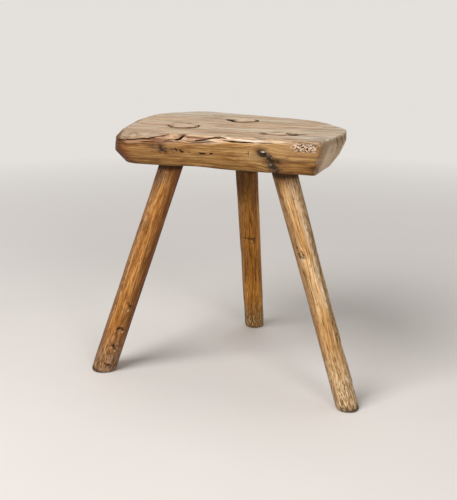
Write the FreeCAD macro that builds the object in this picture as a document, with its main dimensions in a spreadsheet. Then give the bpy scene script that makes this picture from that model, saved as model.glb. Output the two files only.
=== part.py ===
import FreeCAD, Part

import math
import os

import Sketcher
from FreeCAD import Vector

# Milking stool: a thick hewn seat slab on three splayed round legs. Each leg runs right through the seat in
# a tapered bore, ends flush with the seat's top and is spread there by a wedge driven into a saw kerf.
# The origin is on the floor under the middle of the stool. +X follows the seat's grain to its square right
# end, +Y goes from the straight front edge towards the rear leg, and +Z is up.

SHEET_SIZES = {
    # Millimetres: the seat slab, its place over the floor and the middle of its outline.
    "seat_height": 360,
    "seat_thickness": 44,
    "seat_length": 322,
    "seat_depth": 247,
    "seat_middle_x": -2.5,
    "seat_middle_y": -31.1,
    # Millimetres: the left leg, the stoutest.
    "left_foot_radius": 17.7,
    "left_waist_radius": 16.9,
    "left_shoulder_radius": 16.4,
    "left_tenon_radius": 16.1,
    # Millimetres: the right leg, thinned at its waist.
    "right_foot_radius": 15.6,
    "right_waist_radius": 14.8,
    "right_shoulder_radius": 16.3,
    "right_tenon_radius": 16,
    # Millimetres: the rear leg, thickest under the seat.
    "rear_foot_radius": 16.1,
    "rear_waist_radius": 16.4,
    "rear_shoulder_radius": 16.9,
    "rear_tenon_radius": 16.5,
    # Degrees: each leg's lean from upright, and the plan direction in which its foot stands out.
    "left_splay": 19.2,
    "left_heading": -164.4,
    "right_splay": 17.3,
    "right_heading": -4.9,
    "rear_splay": 20.3,
    "rear_heading": 101.1,
    # Shares of the seat's length and depth: where each leg comes out of the seat's top.
    "left_ring_x_share": -0.184,
    "left_ring_y_share": -0.188,
    "right_ring_x_share": 0.2345,
    "right_ring_y_share": -0.2866,
    "rear_ring_x_share": -0.011,
    "rear_ring_y_share": 0.1575,
    # Shares of a leg's length, from the foot.
    "waist_share": 0.42,
    # Millimetres: the worn edge round each foot, and the gap between a leg and its bore.
    "foot_rounding": 2.5,
    "bore_fit": 0.1,
    # Millimetres: the wedges and their kerfs.
    "wedge_thickness": 3.6,
    "wedge_tip": 0.8,
    "wedge_depth": 26,
    "wedge_end_gap": 0.4,
    "wedge_fit": 0.05,
    # Millimetres: how far a blank or a cutter runs past the face that it meets.
    "cut_overrun": 2,
}

LEG_SIDES = ("left", "right", "rear")

# How far off the floor's plane an edge may measure and still lie in it, as a share of its leg's diagonal.
FLAT_SHARE = 1e-6

# The seat's outline at four levels, bottom to top, anticlockwise from the front-left corner. Each corner is
# where two straight sides would meet, as shares of the seat's length and depth from its middle.
SECTION_HEIGHT_SHARES = {"underside": 0, "belly": 0.364, "rim": 0.773, "top": 1}
CORNER_SHARES = {
    "underside": ((-0.385, -0.439), (0.437, -0.454), (0.441, -0.038), (0.225, 0.211),
                  (-0.292, 0.446), (-0.430, 0.276), (-0.424, -0.041)),
    "belly": ((-0.422, -0.472), (0.452, -0.468), (0.486, -0.066), (0.261, 0.253),
              (-0.328, 0.511), (-0.494, 0.300), (-0.463, -0.039)),
    "rim": ((-0.400, -0.495), (0.470, -0.498), (0.514, -0.090), (0.283, 0.271),
            (-0.340, 0.533), (-0.512, 0.313), (-0.479, -0.041)),
    "top": ((-0.373, -0.477), (0.476, -0.500), (0.501, -0.072), (0.307, 0.291),
            (-0.323, 0.526), (-0.481, 0.297), (-0.457, -0.041)),
}
# Each corner's rounding, as a share of the seat's depth, in the same order.
CORNER_RADIUS_SHARES = (0.113, 0.020, 0.316, 0.431, 0.193, 0.204, 0.486)


def fill_sheet(document):
    sheet = document.addObject("Spreadsheet::Sheet", "Sizes")
    for row, (name, value) in enumerate(SHEET_SIZES.items(), start=1):
        sheet.set(f"A{row}", name)
        sheet.set(f"B{row}", str(value))
        sheet.setAlias(f"B{row}", name)
    document.recompute()
    return sheet


def origin_plane(body, role):
    return next(feature for feature in body.Origin.OriginFeatures if feature.Role == role)


def new_sketch(body, name, role):
    sketch = body.newObject("Sketcher::SketchObject", name)
    sketch.AttachmentSupport = [(origin_plane(body, role), "")]
    sketch.MapMode = "FlatFace"
    return sketch


def bound_constraint(sketch, expression, *definition):
    index = sketch.addConstraint(Sketcher.Constraint(*definition))
    sketch.setExpression(f"Constraints[{index}]", expression)


def straight_sketch(body, name, role, places):
    """Close a polygon through places, which are pairs of expressions."""
    sketch = new_sketch(body, name, role)
    turns = [2 * math.pi * index / len(places) for index in range(len(places))]
    starts = [Vector(math.cos(turn), math.sin(turn), 0) for turn in turns]
    for index, start in enumerate(starts):
        sketch.addGeometry(Part.LineSegment(start, starts[(index + 1) % len(starts)]))
    for index in range(len(places)):
        following = (index + 1) % len(places)
        sketch.addConstraint(Sketcher.Constraint("Coincident", index, 2, following, 1))
    for index, (across, along) in enumerate(places):
        bound_constraint(sketch, across, "DistanceX", -1, 1, index, 1, starts[index].x)
        bound_constraint(sketch, along, "DistanceY", -1, 1, index, 1, starts[index].y)
    return sketch


def corner_arc(before, corner, after, radius):
    """The arc that rounds a left-turning corner."""
    back = (before - corner).normalize()
    ahead = (after - corner).normalize()
    half_angle = back.getAngle(ahead) / 2
    reach = radius / math.tan(half_angle)
    middle = corner + (back + ahead).normalize() * (radius / math.sin(half_angle))
    start = corner + back * reach - middle
    end = corner + ahead * reach - middle
    circle = Part.Circle(middle, Vector(0, 0, 1), radius)
    return Part.ArcOfCircle(circle, math.atan2(start.y, start.x), math.atan2(end.y, end.x))


def seat_section(body, sheet, level):
    """One outline of the slab: seven straight sides joined by tangent arcs."""
    sketch = new_sketch(body, f"{level}_outline", "XY_Plane")
    height_share = SECTION_HEIGHT_SHARES[level]
    sketch.setExpression("AttachmentOffset.Base.z", f"Sizes.seat_thickness * {height_share}")
    shares = CORNER_SHARES[level]
    corners = []
    for x_share, y_share in shares:
        corners.append(Vector(x_share * sheet.seat_length, y_share * sheet.seat_depth, 0))
    count = len(corners)
    arcs = []
    for index, corner in enumerate(corners):
        radius = CORNER_RADIUS_SHARES[index] * sheet.seat_depth
        arcs.append(corner_arc(corners[index - 1], corner, corners[(index + 1) % count], radius))
    for arc in arcs:
        sketch.addGeometry(arc)
    for index, arc in enumerate(arcs):
        sketch.addGeometry(Part.LineSegment(arc.EndPoint, arcs[(index + 1) % count].StartPoint))
    for corner in corners:
        sketch.addGeometry(Part.Point(corner), True)
    for index, (x_share, y_share) in enumerate(shares):
        side_before = count + (index - 1) % count
        side_after = count + index
        point = 2 * count + index
        sketch.addConstraint(Sketcher.Constraint("Tangent", side_before, 2, index, 1))
        sketch.addConstraint(Sketcher.Constraint("Tangent", side_after, 1, index, 2))
        sketch.addConstraint(Sketcher.Constraint("PointOnObject", point, 1, side_before))
        sketch.addConstraint(Sketcher.Constraint("PointOnObject", point, 1, side_after))
        across = f"Sizes.seat_length * {x_share}"
        along = f"Sizes.seat_depth * {y_share}"
        rounding = f"Sizes.seat_depth * {CORNER_RADIUS_SHARES[index]}"
        bound_constraint(sketch, across, "DistanceX", -1, 1, point, 1, corners[index].x)
        bound_constraint(sketch, along, "DistanceY", -1, 1, point, 1, corners[index].y)
        bound_constraint(sketch, rounding, "Radius", index, arcs[index].Radius)
    return sketch


def leg_terms(side):
    """Expressions for one leg, along its own axis from the middle of its foot."""
    splay = f"Sizes.{side}_splay * 1 deg"
    heading = f"Sizes.{side}_heading * 1 deg"
    foot_reach = f"(Sizes.{side}_foot_radius * tan({splay}) + Sizes.cut_overrun)"
    shoulder_reach = f"(Sizes.{side}_shoulder_radius * tan({splay}) + Sizes.cut_overrun)"
    tenon_reach = f"(Sizes.{side}_tenon_radius * tan({splay}) + Sizes.cut_overrun)"
    top = f"(Sizes.seat_height / cos({splay}))"
    underside = f"((Sizes.seat_height - Sizes.seat_thickness) / cos({splay}))"
    return {
        "splay": splay,
        "heading": heading,
        "foot_reach": foot_reach,
        "shoulder_reach": shoulder_reach,
        "tenon_reach": tenon_reach,
        "top": top,
        "shoulder": f"({underside} - {shoulder_reach})",
        "ring_x": f"(Sizes.seat_length * Sizes.{side}_ring_x_share)",
        "ring_y": f"(Sizes.seat_depth * Sizes.{side}_ring_y_share)",
    }


def place_on_leg(body, side):
    """Stand a body on the middle of the foot, with its +Z up the leg."""
    terms = leg_terms(side)
    run = f"Sizes.seat_height * tan({terms['splay']})"
    x = f"Sizes.seat_middle_x + {terms['ring_x']} + {run} * cos({terms['heading']})"
    y = f"Sizes.seat_middle_y + {terms['ring_y']} + {run} * sin({terms['heading']})"
    turn = f"rotation(Sizes.{side}_heading; -Sizes.{side}_splay; 0)"
    body.setExpression("Placement", f"placement(vector({x}; {y}; 0); {turn})")


def cut_through(body, sketch, name):
    pocket = body.newObject("PartDesign::Pocket", name)
    pocket.Profile = sketch
    pocket.SideType = "Symmetric"
    pocket.Type = "ThroughAll"
    return pocket


def trim_flush(body, side):
    """Cut a body off level with the seat's top."""
    terms = leg_terms(side)
    half_width = f"(Sizes.{side}_tenon_radius + Sizes.cut_overrun)"
    drop = f"{half_width} * tan({terms['splay']})"
    ceiling = f"{terms['top']} + 2 * {terms['tenon_reach']} + {drop}"
    sketch = straight_sketch(body, "flush_line", "XZ_Plane", (
        (f"-{half_width}", f"{terms['top']} + {drop}"),
        (half_width, f"{terms['top']} - {drop}"),
        (half_width, ceiling),
        (f"-{half_width}", ceiling),
    ))
    return cut_through(body, sketch, "flush_trim")


def wedge_outline(body, side, fit):
    """The tapered section of a wedge, set so that its blade follows the seat's grain."""
    terms = leg_terms(side)
    half_tip = f"(Sizes.wedge_tip / 2 + {fit})"
    flare = "(Sizes.wedge_thickness - Sizes.wedge_tip) / 2 / Sizes.wedge_depth"
    half_head = f"({half_tip} + {flare} * (Sizes.wedge_depth + {terms['tenon_reach']}))"
    bottom = f"{terms['top']} - Sizes.wedge_depth - {fit}"
    head = f"{terms['top']} + {terms['tenon_reach']}"
    sketch = straight_sketch(body, "wedge_section", "XZ_Plane", (
        (f"-{half_tip}", bottom),
        (half_tip, bottom),
        (half_head, head),
        (f"-{half_head}", head),
    ))
    turn = f"rotation(vector(0; 1; 0); 90 - Sizes.{side}_heading)"
    sketch.setExpression("AttachmentOffset", f"placement(vector(0; 0; 0); {turn})")
    return sketch


def foot_edges(shape, splay):
    """Names of a leg's edges that lie in the floor's plane."""
    names = []
    slope = math.tan(math.radians(splay))
    tolerance = shape.BoundBox.DiagonalLength * FLAT_SHARE
    for index, edge in enumerate(shape.Edges, start=1):
        points = edge.discretize(Number=5)
        if all(abs(point.z + point.x * slope) < tolerance for point in points):
            names.append(f"Edge{index}")
    return names


def make_seat(document, sheet):
    body = document.addObject("PartDesign::Body", "seat")
    body.Label = "seat"
    sections = [seat_section(body, sheet, level) for level in SECTION_HEIGHT_SHARES]
    slab = body.newObject("PartDesign::AdditiveLoft", "slab")
    slab.Profile = sections[0]
    slab.Sections = sections[1:]
    slab.Ruled = True
    document.recompute()
    for side in LEG_SIDES:
        terms = leg_terms(side)
        bore = body.newObject("PartDesign::SubtractiveCone", f"{side}_bore")
        bore.setExpression("Radius1", f"Sizes.{side}_shoulder_radius + Sizes.bore_fit")
        bore.setExpression("Radius2", f"Sizes.{side}_tenon_radius + Sizes.bore_fit")
        bore.setExpression("Height", f"{terms['top']} + {terms['tenon_reach']} - {terms['shoulder']}")
        below = f"({terms['shoulder_reach']} * cos({terms['splay']}))"
        run = f"(Sizes.seat_thickness + {below}) * tan({terms['splay']})"
        x = f"{terms['ring_x']} + {run} * cos({terms['heading']})"
        y = f"{terms['ring_y']} + {run} * sin({terms['heading']})"
        turn = f"rotation(Sizes.{side}_heading; -Sizes.{side}_splay; 0)"
        bore.setExpression("Placement", f"placement(vector({x}; {y}; -{below}); {turn})")
        document.recompute()
    underside = "Sizes.seat_height - Sizes.seat_thickness"
    middle = f"vector(Sizes.seat_middle_x; Sizes.seat_middle_y; {underside})"
    body.setExpression("Placement", f"placement({middle}; rotation(0; 0; 0))")
    return body


def make_leg(document, sheet, side):
    name = f"leg_{side}"
    terms = leg_terms(side)
    body = document.addObject("PartDesign::Body", name)
    body.Label = name
    waist = f"{terms['top']} * Sizes.waist_share"
    end = f"{terms['top']} + {terms['tenon_reach']}"
    profile = straight_sketch(body, "leg_profile", "XZ_Plane", (
        ("0", f"-{terms['foot_reach']}"),
        (f"Sizes.{side}_foot_radius", f"-{terms['foot_reach']}"),
        (f"Sizes.{side}_waist_radius", waist),
        (f"Sizes.{side}_shoulder_radius", terms["shoulder"]),
        (f"Sizes.{side}_tenon_radius", end),
        ("0", end),
    ))
    blank = body.newObject("PartDesign::Revolution", "blank")
    blank.Profile = profile
    blank.ReferenceAxis = (profile, ["V_Axis"])
    document.recompute()

    half_width = f"(Sizes.{side}_foot_radius + Sizes.cut_overrun)"
    drop = f"{half_width} * tan({terms['splay']})"
    depth = f"-2 * {terms['foot_reach']} - {drop}"
    floor_line = straight_sketch(body, "floor_line", "XZ_Plane", (
        (f"-{half_width}", drop),
        (f"-{half_width}", depth),
        (half_width, depth),
        (half_width, f"-{drop}"),
    ))
    standing = cut_through(body, floor_line, "floor_trim")
    document.recompute()

    rounding = body.newObject("PartDesign::Fillet", "worn_edge")
    rounding.Base = (standing, foot_edges(standing.Shape, getattr(sheet, f"{side}_splay")))
    rounding.setExpression("Radius", "Sizes.foot_rounding")
    document.recompute()

    trim_flush(body, side)
    document.recompute()
    cut_through(body, wedge_outline(body, side, "Sizes.wedge_fit"), "kerf")
    place_on_leg(body, side)
    return body


def make_wedge(document, side):
    name = f"wedge_{side}"
    body = document.addObject("PartDesign::Body", name)
    body.Label = name
    blade = body.newObject("PartDesign::Pad", "blade")
    blade.Profile = wedge_outline(body, side, "0")
    blade.SideType = "Symmetric"
    blade.setExpression("Length", f"2 * (Sizes.{side}_tenon_radius - Sizes.wedge_end_gap)")
    document.recompute()
    trim_flush(body, side)
    place_on_leg(body, side)
    return body


def check_document(document, bodies):
    for item in document.Objects:
        if "Invalid" in item.State or "Error" in item.State:
            raise RuntimeError(f"{item.Label} failed: {item.State}")
    for body in bodies:
        if body.Shape.isNull() or not body.Shape.isValid() or len(body.Shape.Solids) != 1:
            raise RuntimeError(f"{body.Label} is not one valid solid")


def main():
    document = FreeCAD.newDocument("milking_stool")
    sheet = fill_sheet(document)
    bodies = [make_seat(document, sheet)]
    for side in LEG_SIDES:
        bodies.append(make_leg(document, sheet, side))
        bodies.append(make_wedge(document, side))
    document.recompute()
    check_document(document, bodies)
    os.makedirs("parts", exist_ok=True)
    for body in bodies:
        body.Shape.exportStep(f"parts/{body.Label}.step")
        print(body.Label, round(body.Shape.Volume), "mm3")


main()
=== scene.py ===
import itertools
import math

import bmesh
import bpy
import numpy as np
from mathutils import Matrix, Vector
from mathutils.geometry import convex_hull_2d


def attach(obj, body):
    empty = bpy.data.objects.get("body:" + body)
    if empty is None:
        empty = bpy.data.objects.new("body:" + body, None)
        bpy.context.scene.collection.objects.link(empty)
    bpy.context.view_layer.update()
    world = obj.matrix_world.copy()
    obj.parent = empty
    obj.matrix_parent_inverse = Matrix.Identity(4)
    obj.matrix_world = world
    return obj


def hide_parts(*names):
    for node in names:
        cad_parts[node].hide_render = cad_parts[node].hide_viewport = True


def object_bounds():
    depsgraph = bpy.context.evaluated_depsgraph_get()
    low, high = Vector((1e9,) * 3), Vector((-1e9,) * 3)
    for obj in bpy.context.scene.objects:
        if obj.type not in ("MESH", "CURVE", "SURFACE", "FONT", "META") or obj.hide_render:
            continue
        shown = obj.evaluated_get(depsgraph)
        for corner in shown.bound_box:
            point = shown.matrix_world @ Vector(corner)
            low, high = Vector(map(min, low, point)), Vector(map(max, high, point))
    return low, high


# A milking stool: a hewn seat slab on three splayed legs, wedged from above. Sizes are in millimetres, and the
# scene is in metres.

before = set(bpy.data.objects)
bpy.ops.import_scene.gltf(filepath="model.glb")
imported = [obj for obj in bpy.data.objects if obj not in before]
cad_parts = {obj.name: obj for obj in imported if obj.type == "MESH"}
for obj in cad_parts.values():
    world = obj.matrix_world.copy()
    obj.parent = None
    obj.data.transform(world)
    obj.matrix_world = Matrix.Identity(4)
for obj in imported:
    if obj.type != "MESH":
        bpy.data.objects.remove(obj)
CAD_LOW, CAD_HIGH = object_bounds()
MM = 0.001
LEG_SIDES = ("left", "right", "rear")

# The photograph's camera: its place, the way it faces, how far it looks down, and its lens in mm.
CAMERA_PLACE = (388.7, -1111.3, 507.1)
CAMERA_AZIMUTH = 20.5
CAMERA_PITCH = 15.93
CAMERA_LENS = 59.91
SENSOR_SIZE = 36

# How small the even faces of each kind of piece are.
SEAT_VOXEL = 1.55
LEG_VOXEL = 1.15
WEDGE_VOXEL = 0.7
# How near a mark the seat's faces are split, once for each reach.
SPLIT_REACHES = (2.4, 0.9)

SEAT_TOP = round(CAD_HIGH[2] / MM, 2)
# How near a height a point counts as level with it.
LEVEL_GAP = 0.01
SEAT_THICKNESS = 44
# Heights between which an end that is level with the seat's top takes the top's wear and colour.
TOP_BAND = (354, 359.5)
# A noise size so long that the noise hardly changes along its axis.
LONG = 900
NOISE_CELLS = 32
NOISE_TABLE = np.random.default_rng(11).uniform(-1, 1, (NOISE_CELLS,) * 3)


def ease(value, low, high):
    """Nought below low, one above high and a soft ramp between. High may be under low."""
    share = np.clip((value - low) / (high - low), 0, 1)
    return share * share * (3 - 2 * share)


def most(*shares):
    """The highest of some shares at each point."""
    return np.maximum.reduce(shares)


def noise(points, sizes, seed=0):
    """Smooth noise from -1 to 1 whose bumps measure sizes along X, Y and Z."""
    places = points / np.array(sizes, float) + seed * 7.31
    cells = np.floor(places).astype(int)
    part = places - cells
    part = part * part * (3 - 2 * part)
    total = np.zeros(len(points))
    for corner in itertools.product((0, 1), repeat=3):
        weight = np.prod(np.where(corner, part, 1 - part), axis=1)
        at = (cells + corner) % NOISE_CELLS
        total += weight * NOISE_TABLE[at[:, 0], at[:, 1], at[:, 2]]
    return total


def rough_noise(points, sizes, seed=0, octaves=3):
    """Noise with ever smaller and fainter bumps added."""
    total = np.zeros(len(points))
    for octave in range(octaves):
        shrink = 2.0 ** octave
        total += noise(points * shrink, sizes, seed + octave) / shrink
    return total


def near_path(points, path):
    """How far points lie from a broken line, and how far along it, from 0 to 1, each is."""
    path = np.array(path, float)
    steps = np.linalg.norm(np.diff(path, axis=0), axis=1)
    starts = np.cumsum(steps) - steps
    nearest = np.full(len(points), np.inf)
    share = np.zeros(len(points))
    for first, second, step, start in zip(path, path[1:], steps, starts):
        part = np.clip((points - first) @ (second - first) / step ** 2, 0, 1)
        gap = np.linalg.norm(points - first - part[:, None] * (second - first), axis=1)
        closer = gap < nearest
        nearest[closer] = gap[closer]
        share[closer] = (start + part[closer] * step) / steps.sum()
    return nearest, share


class Outline:
    """The outline of some points seen from above, which bulges all the way round."""

    def __init__(self, points):
        plan = points[:, :2]
        corners = plan[convex_hull_2d([tuple(point) for point in plan])]
        sides = np.roll(corners, -1, axis=0) - corners
        lengths = np.linalg.norm(sides, axis=1)
        corners, sides = corners[lengths > 0.01], sides[lengths > 0.01]
        inward = np.stack([-sides[:, 1], sides[:, 0]], axis=1)
        inward /= np.linalg.norm(inward, axis=1)[:, None]
        self.middle = (corners.min(axis=0) + corners.max(axis=0)) / 2
        if ((self.middle - corners[0]) @ inward[0]) < 0:
            inward = -inward
        self.corners = corners
        self.inward = inward

    def inset(self, points):
        """How far inside the outline points lie, and the way straight in from its nearest side."""
        depths = points[:, :2] @ self.inward.T - (self.corners * self.inward).sum(axis=1)
        side = depths.argmin(axis=1)
        return depths[np.arange(len(points)), side], self.inward[side]


# Meshes.


def evaluated_mesh(piece):
    graph = bpy.context.evaluated_depsgraph_get()
    return bpy.data.meshes.new_from_object(piece.evaluated_get(graph))


def read_vectors(items, field):
    values = np.empty(len(items) * 3, np.float32)
    items.foreach_get(field, values)
    return values.reshape(-1, 3).astype(float)


def read_points(mesh):
    return read_vectors(mesh.vertices, "co") / MM


def read_normals(mesh):
    return read_vectors(mesh.vertex_normals, "vector")


def write_points(mesh, points):
    mesh.vertices.foreach_set("co", (points * MM).astype(np.float32).ravel())
    mesh.update()


def store(mesh, **fields):
    """Keep one number or one vector for each point, for the materials to read."""
    for name, values in fields.items():
        kind = "FLOAT" if values.ndim == 1 else "FLOAT_VECTOR"
        attribute = mesh.attributes.new(name, kind, "POINT")
        field = "value" if values.ndim == 1 else "vector"
        attribute.data.foreach_set(field, values.astype(np.float32).ravel())


def add_object(name, data):
    made = bpy.data.objects.new(name, data)
    bpy.context.scene.collection.objects.link(made)
    return made


def even_copy(node, name, voxel):
    """A closed mesh of small even faces in the shape of a CAD node."""
    piece = add_object(name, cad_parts[node].data.copy())
    remesh = piece.modifiers.new("even_faces", "REMESH")
    remesh.mode = "VOXEL"
    remesh.voxel_size = voxel * MM
    piece.data = evaluated_mesh(piece)
    piece.modifiers.clear()
    piece.data.materials.clear()
    return piece


def softened(piece, rounds):
    """The points of a piece after its edges are worn round, with the piece left as it is."""
    wear = piece.modifiers.new("wear", "SMOOTH")
    wear.factor = 0.5
    wear.iterations = rounds
    points = read_points(evaluated_mesh(piece))
    piece.modifiers.clear()
    return points


def refine(piece, wanted):
    """Split the edges whose two points are both wanted, and the faces between them."""
    cut = bmesh.new()
    cut.from_mesh(piece.data)
    cut.verts.ensure_lookup_table()
    edges = [edge for edge in cut.edges if wanted[edge.verts[0].index] and wanted[edge.verts[1].index]]
    bmesh.ops.subdivide_edges(cut, edges=edges, cuts=1, use_grid_fill=True)
    cut.to_mesh(piece.data)
    cut.free()


def finish_piece(piece, node, material):
    for polygon in piece.data.polygons:
        polygon.use_smooth = True
    piece.data.materials.append(material)
    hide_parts(node)
    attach(piece, "root")


# The top of the seat, which the ends of the legs and the wedges are level with.


def node_points(node):
    return read_points(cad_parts[node].data)


def level_outline(node, height):
    points = node_points(node)
    return Outline(points[np.abs(points[:, 2] - height) < LEVEL_GAP])


RINGS = {side: level_outline(f"leg_{side}", SEAT_TOP) for side in LEG_SIDES}
SEAT_OUTLINE = Outline(node_points("seat"))
# Each ring's open stretch: the middle of it and how far it runs each way, in degrees round the leg's end.
RING_GAPS = {"left": (289, 96), "right": (292, 104), "rear": (285, 92)}
# How far each ring has crept from the leg's edge, along X and Y.
RING_SHIFT = {"left": (0, 1.5), "right": (2, 4.5), "rear": (0, 3)}
RING_HALF_WIDTH = 3.1
RING_DEPTH = 3.6
# How far inside each ring a faint second line runs.
RING_INSIDE = 6.5
# How far each way the brown stain round a ring spreads.
RING_STAIN = 7.5
# How far the top is worn down in front of each leg's end, and how far out that reaches.
RING_STEP = 1.1
RING_STEP_REACH = 11

# Cracks in the top: a path of X and Y, the half width and the depth.
TOP_CRACKS = (
    (((-45, -86), (-40, -80), (-34, -76)), 0.9, 1.2),
    (((-45, -80), (-44, -71), (-46, -63), (-51, -57)), 1.4, 1.8),
    (((-87, -74), (-84, -78), (-80, -84)), 1.3, 1.8),
    (((-92, -57), (-88, -49), (-80, -45), (-71, -46), (-62, -51)), 1.7, 1.0),
    (((-104, -38), (-92, -36), (-80, -37)), 1.2, 1.2),
    (((-22, 2), (-27, 8), (-33, 14)), 5.2, 3.6),
    (((-40, 18), (-50, 22), (-62, 23), (-76, 20)), 1.5, 1.6),
    (((4, 26), (11, 17), (14, 7), (11, -4)), 1.7, 2.0),
    (((11, 10), (20, 11), (31, 9)), 1.5, 1.6),
    (((92, -109), (99, -105.5), (106, -102)), 8.2, 4.8),
    (((101, -104), (108, -101), (117, -98)), 2.2, 1.8),
    (((44, -94), (51, -93), (58, -98), (65, -107)), 1.5, 1.6),
    (((58, -93), (66, -90), (77, -90), (90, -91)), 1.8, 1.4),
    (((56, -142), (64, -143), (72, -146), (80, -147)), 0.9, 1.0),
    (((-141, -14), (-123, -24), (-105, -31), (-90, -31)), 0.9, 0.9),
    (((-78, 60), (-62, 49), (-48, 37), (-38, 31)), 1.0, 1.0),
    (((-120, 48), (-84, 46), (-50, 50)), 0.8, 0.6),
    (((-30, -58), (5, -62), (32, -60)), 0.8, 0.6),
    (((36, -34), (60, -38), (92, -37)), 1.0, 0.9),
    (((10, 62), (48, 58), (84, 50)), 0.8, 0.6),
    (((-60, -6), (-20, -16), (24, -22)), 0.7, 0.5),
    (((30, -8), (62, -14), (90, -12)), 0.8, 0.6),
    (((-120, 30), (-92, 35), (-70, 34)), 0.8, 0.6),
    (((96, -20), (121, -24), (140, -22)), 0.8, 0.7),
    (((104, -58), (124, -62), (146, -60)), 0.8, 0.6),
    (((-132, -70), (-118, -76), (-104, -78)), 0.8, 0.6),
    (((-22, -84), (10, -88), (36, -84)), 0.8, 0.6),
    (((-18, -118), (12, -121), (44, -119)), 1.1, 0.9),
    (((10, -134), (40, -136), (72, -134)), 0.9, 0.7),
)
# Brown stains on the top: the middle in X and Y, the reach and how strong each is.
TOP_STAINS = (
    (-86, -76, 9, 0.8), (-48, -60, 9, 0.75), (-31, 11, 10, 1.0), (-55, 23, 8, 0.4), (9, 14, 8, 0.7),
    (97, -104, 13, 1.0), (60, -102, 8, 0.6), (112, -99, 7, 0.4), (-88, -36, 7, 0.35), (-66, -30, 7, 0.3),
    (72, -76, 8, 0.3), (30, 10, 6, 0.35), (-18, -60, 9, 0.22), (128, 4, 12, 0.2), (60, 40, 14, 0.2),
    (-96, 30, 12, 0.2),
)

# How cracks in the top, and in the front and the right end, taper and darken: their least width and how much
# they swell, as shares of the half width, the share of the path at each tip, how far they wander, the share of
# the width that is fully dark, how dark they are at least, and how much darker they get with each millimetre.
TOP_STYLE = (0.25, 0.95, 0.02, 0.4, 0.7, 0.25, 0.42)
SIDE_STYLE = (0.3, 0.9, 0.03, 0.45, 0.4, 0.5, 0.6)


def crack_marks(view, cracks, wobble, least, swell, tip, wander, core, faint, darker):
    """How deep some cracks go at places in a view of their face, and how dark they are."""
    depth = np.zeros(len(view))
    dark = np.zeros(len(view))
    for path, half_width, full_depth in cracks:
        gap, share = near_path(view, path)
        width = half_width * (least + swell * np.sin(np.pi * np.clip(share, tip, 1 - tip)) ** 0.6)
        gap = np.abs(gap + wander * wobble * half_width)
        depth = most(depth, full_depth * np.clip(1 - gap / width, 0, 1))
        dark = most(dark, ease(gap, width * 1.25, width * core) * min(1, faint + half_width * darker))
    return depth, dark


def ring_gap(side, points):
    """How far points lie from a leg's outline in the top, and how open the ring is there, from 0 to 1."""
    ring = RINGS[side]
    plan = points[:, :2] - RING_SHIFT[side]
    inset, _ = ring.inset(plan)
    offset_x, offset_y = (plan - ring.middle).T
    turn = np.degrees(np.arctan2(offset_y, offset_x))
    middle, reach = RING_GAPS[side]
    apart = np.abs((turn - middle + 180) % 360 - 180)
    wobble = noise(points, (7, 7, LONG), seed=31)
    opened = 0.2 + 0.8 * ease(apart, reach + 14, reach - 22)
    return 0.8 * wobble - inset, opened * np.clip(0.9 + 0.35 * wobble, 0, 1)


def top_marks(points):
    """How deep the cracks and rings go at points in the top, and how dark they are."""
    wobble = 0.6 * noise(points, (9, 9, LONG), seed=33)
    depth, dark = crack_marks(points[:, :2], TOP_CRACKS, wobble, *TOP_STYLE)
    for side in LEG_SIDES:
        gap, opened = ring_gap(side, points)
        inner = np.abs(gap + RING_INSIDE + 2.2 * wobble)
        width = RING_HALF_WIDTH * (0.3 + 0.7 * opened)
        width = np.where(gap > 0, width, 0.45 * width)
        gap = np.abs(gap)
        depth = most(depth, RING_DEPTH * opened * np.clip(1 - gap / width, 0, 1))
        dark = most(dark, 0.85 * ease(gap, width * 1.4, width * 0.6) * opened,
                    0.4 * ease(inner, 1.5, 0.4) * np.clip(0.5 + 2.0 * wobble, 0, 1) * opened)
    return depth, dark


def top_stain(points):
    """How brown the top is round the ends of the legs and in its stained places, from 0 to 1."""
    ragged = 2.2 * rough_noise(points, (8, 6, LONG), seed=35)
    stain = np.zeros(len(points))
    for side in LEG_SIDES:
        gap, opened = ring_gap(side, points)
        stain = most(stain, 0.85 * opened * ease(np.abs(gap) + ragged, RING_STAIN, 1))
    for x, y, reach, strength in TOP_STAINS:
        gap = np.hypot(points[:, 0] - x, points[:, 1] - y) + 1.4 * ragged
        stain = most(stain, strength * ease(gap, reach, 0))
    return stain


def top_fall(points):
    """How far the worn top has sunk below the level that it was first cut to."""
    inset, _ = SEAT_OUTLINE.inset(points)
    dished = 0.38 + 0.38 * noise(points, (85, 60, LONG), seed=5)
    ridges = 0.13 + 0.13 * noise(points, (90, 4.5, LONG), seed=6)
    tooling = 0.08 + 0.08 * noise(points, (30, 24, LONG), seed=7)
    return dished * ease(inset, 6, 50) + (ridges + tooling) * ease(inset, 1, 9)


def ring_steps(points):
    """How far the slab's top has sunk in front of the legs' ends, which are harder."""
    sunk = np.zeros(len(points))
    for side in LEG_SIDES:
        gap, opened = ring_gap(side, points)
        sunk = most(sunk, RING_STEP * opened * ease(gap, RING_STEP_REACH, 1))
    return sunk


# The seat slab.

# The front edge from left to right: the place along X, then how far down the face and how far in from it the
# worn shoulder reaches, and the same for the torn strip below the shoulder.
FRONT_EDGE = np.array([
    (-165, 4, 5, 15, 1.0),
    (-126, 7, 8.5, 19, 3),
    (-105, 9.5, 14, 17, 5.5),
    (-86, 7.5, 13, 15.5, 6),
    (-66, 4.5, 11, 13.5, 6.5),
    (-53, 1.5, 5, 12.5, 6.5),
    (-42, 1, 4, 11, 6),
    (-28, 0.9, 4, 10, 5),
    (0, 0.7, 3, 8.6, 4.5),
    (21, 1.2, 5, 7.4, 4),
    (45, 3.2, 11, 6.2, 3.5),
    (65, 4.0, 13, 6.0, 3.2),
    (82, 3.6, 12, 5.4, 3),
    (103, 1.2, 5, 3.4, 2.6),
    (122, 0.6, 4, 2.4, 2.2),
    (165, 1.2, 4, 2, 2),
])
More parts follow.
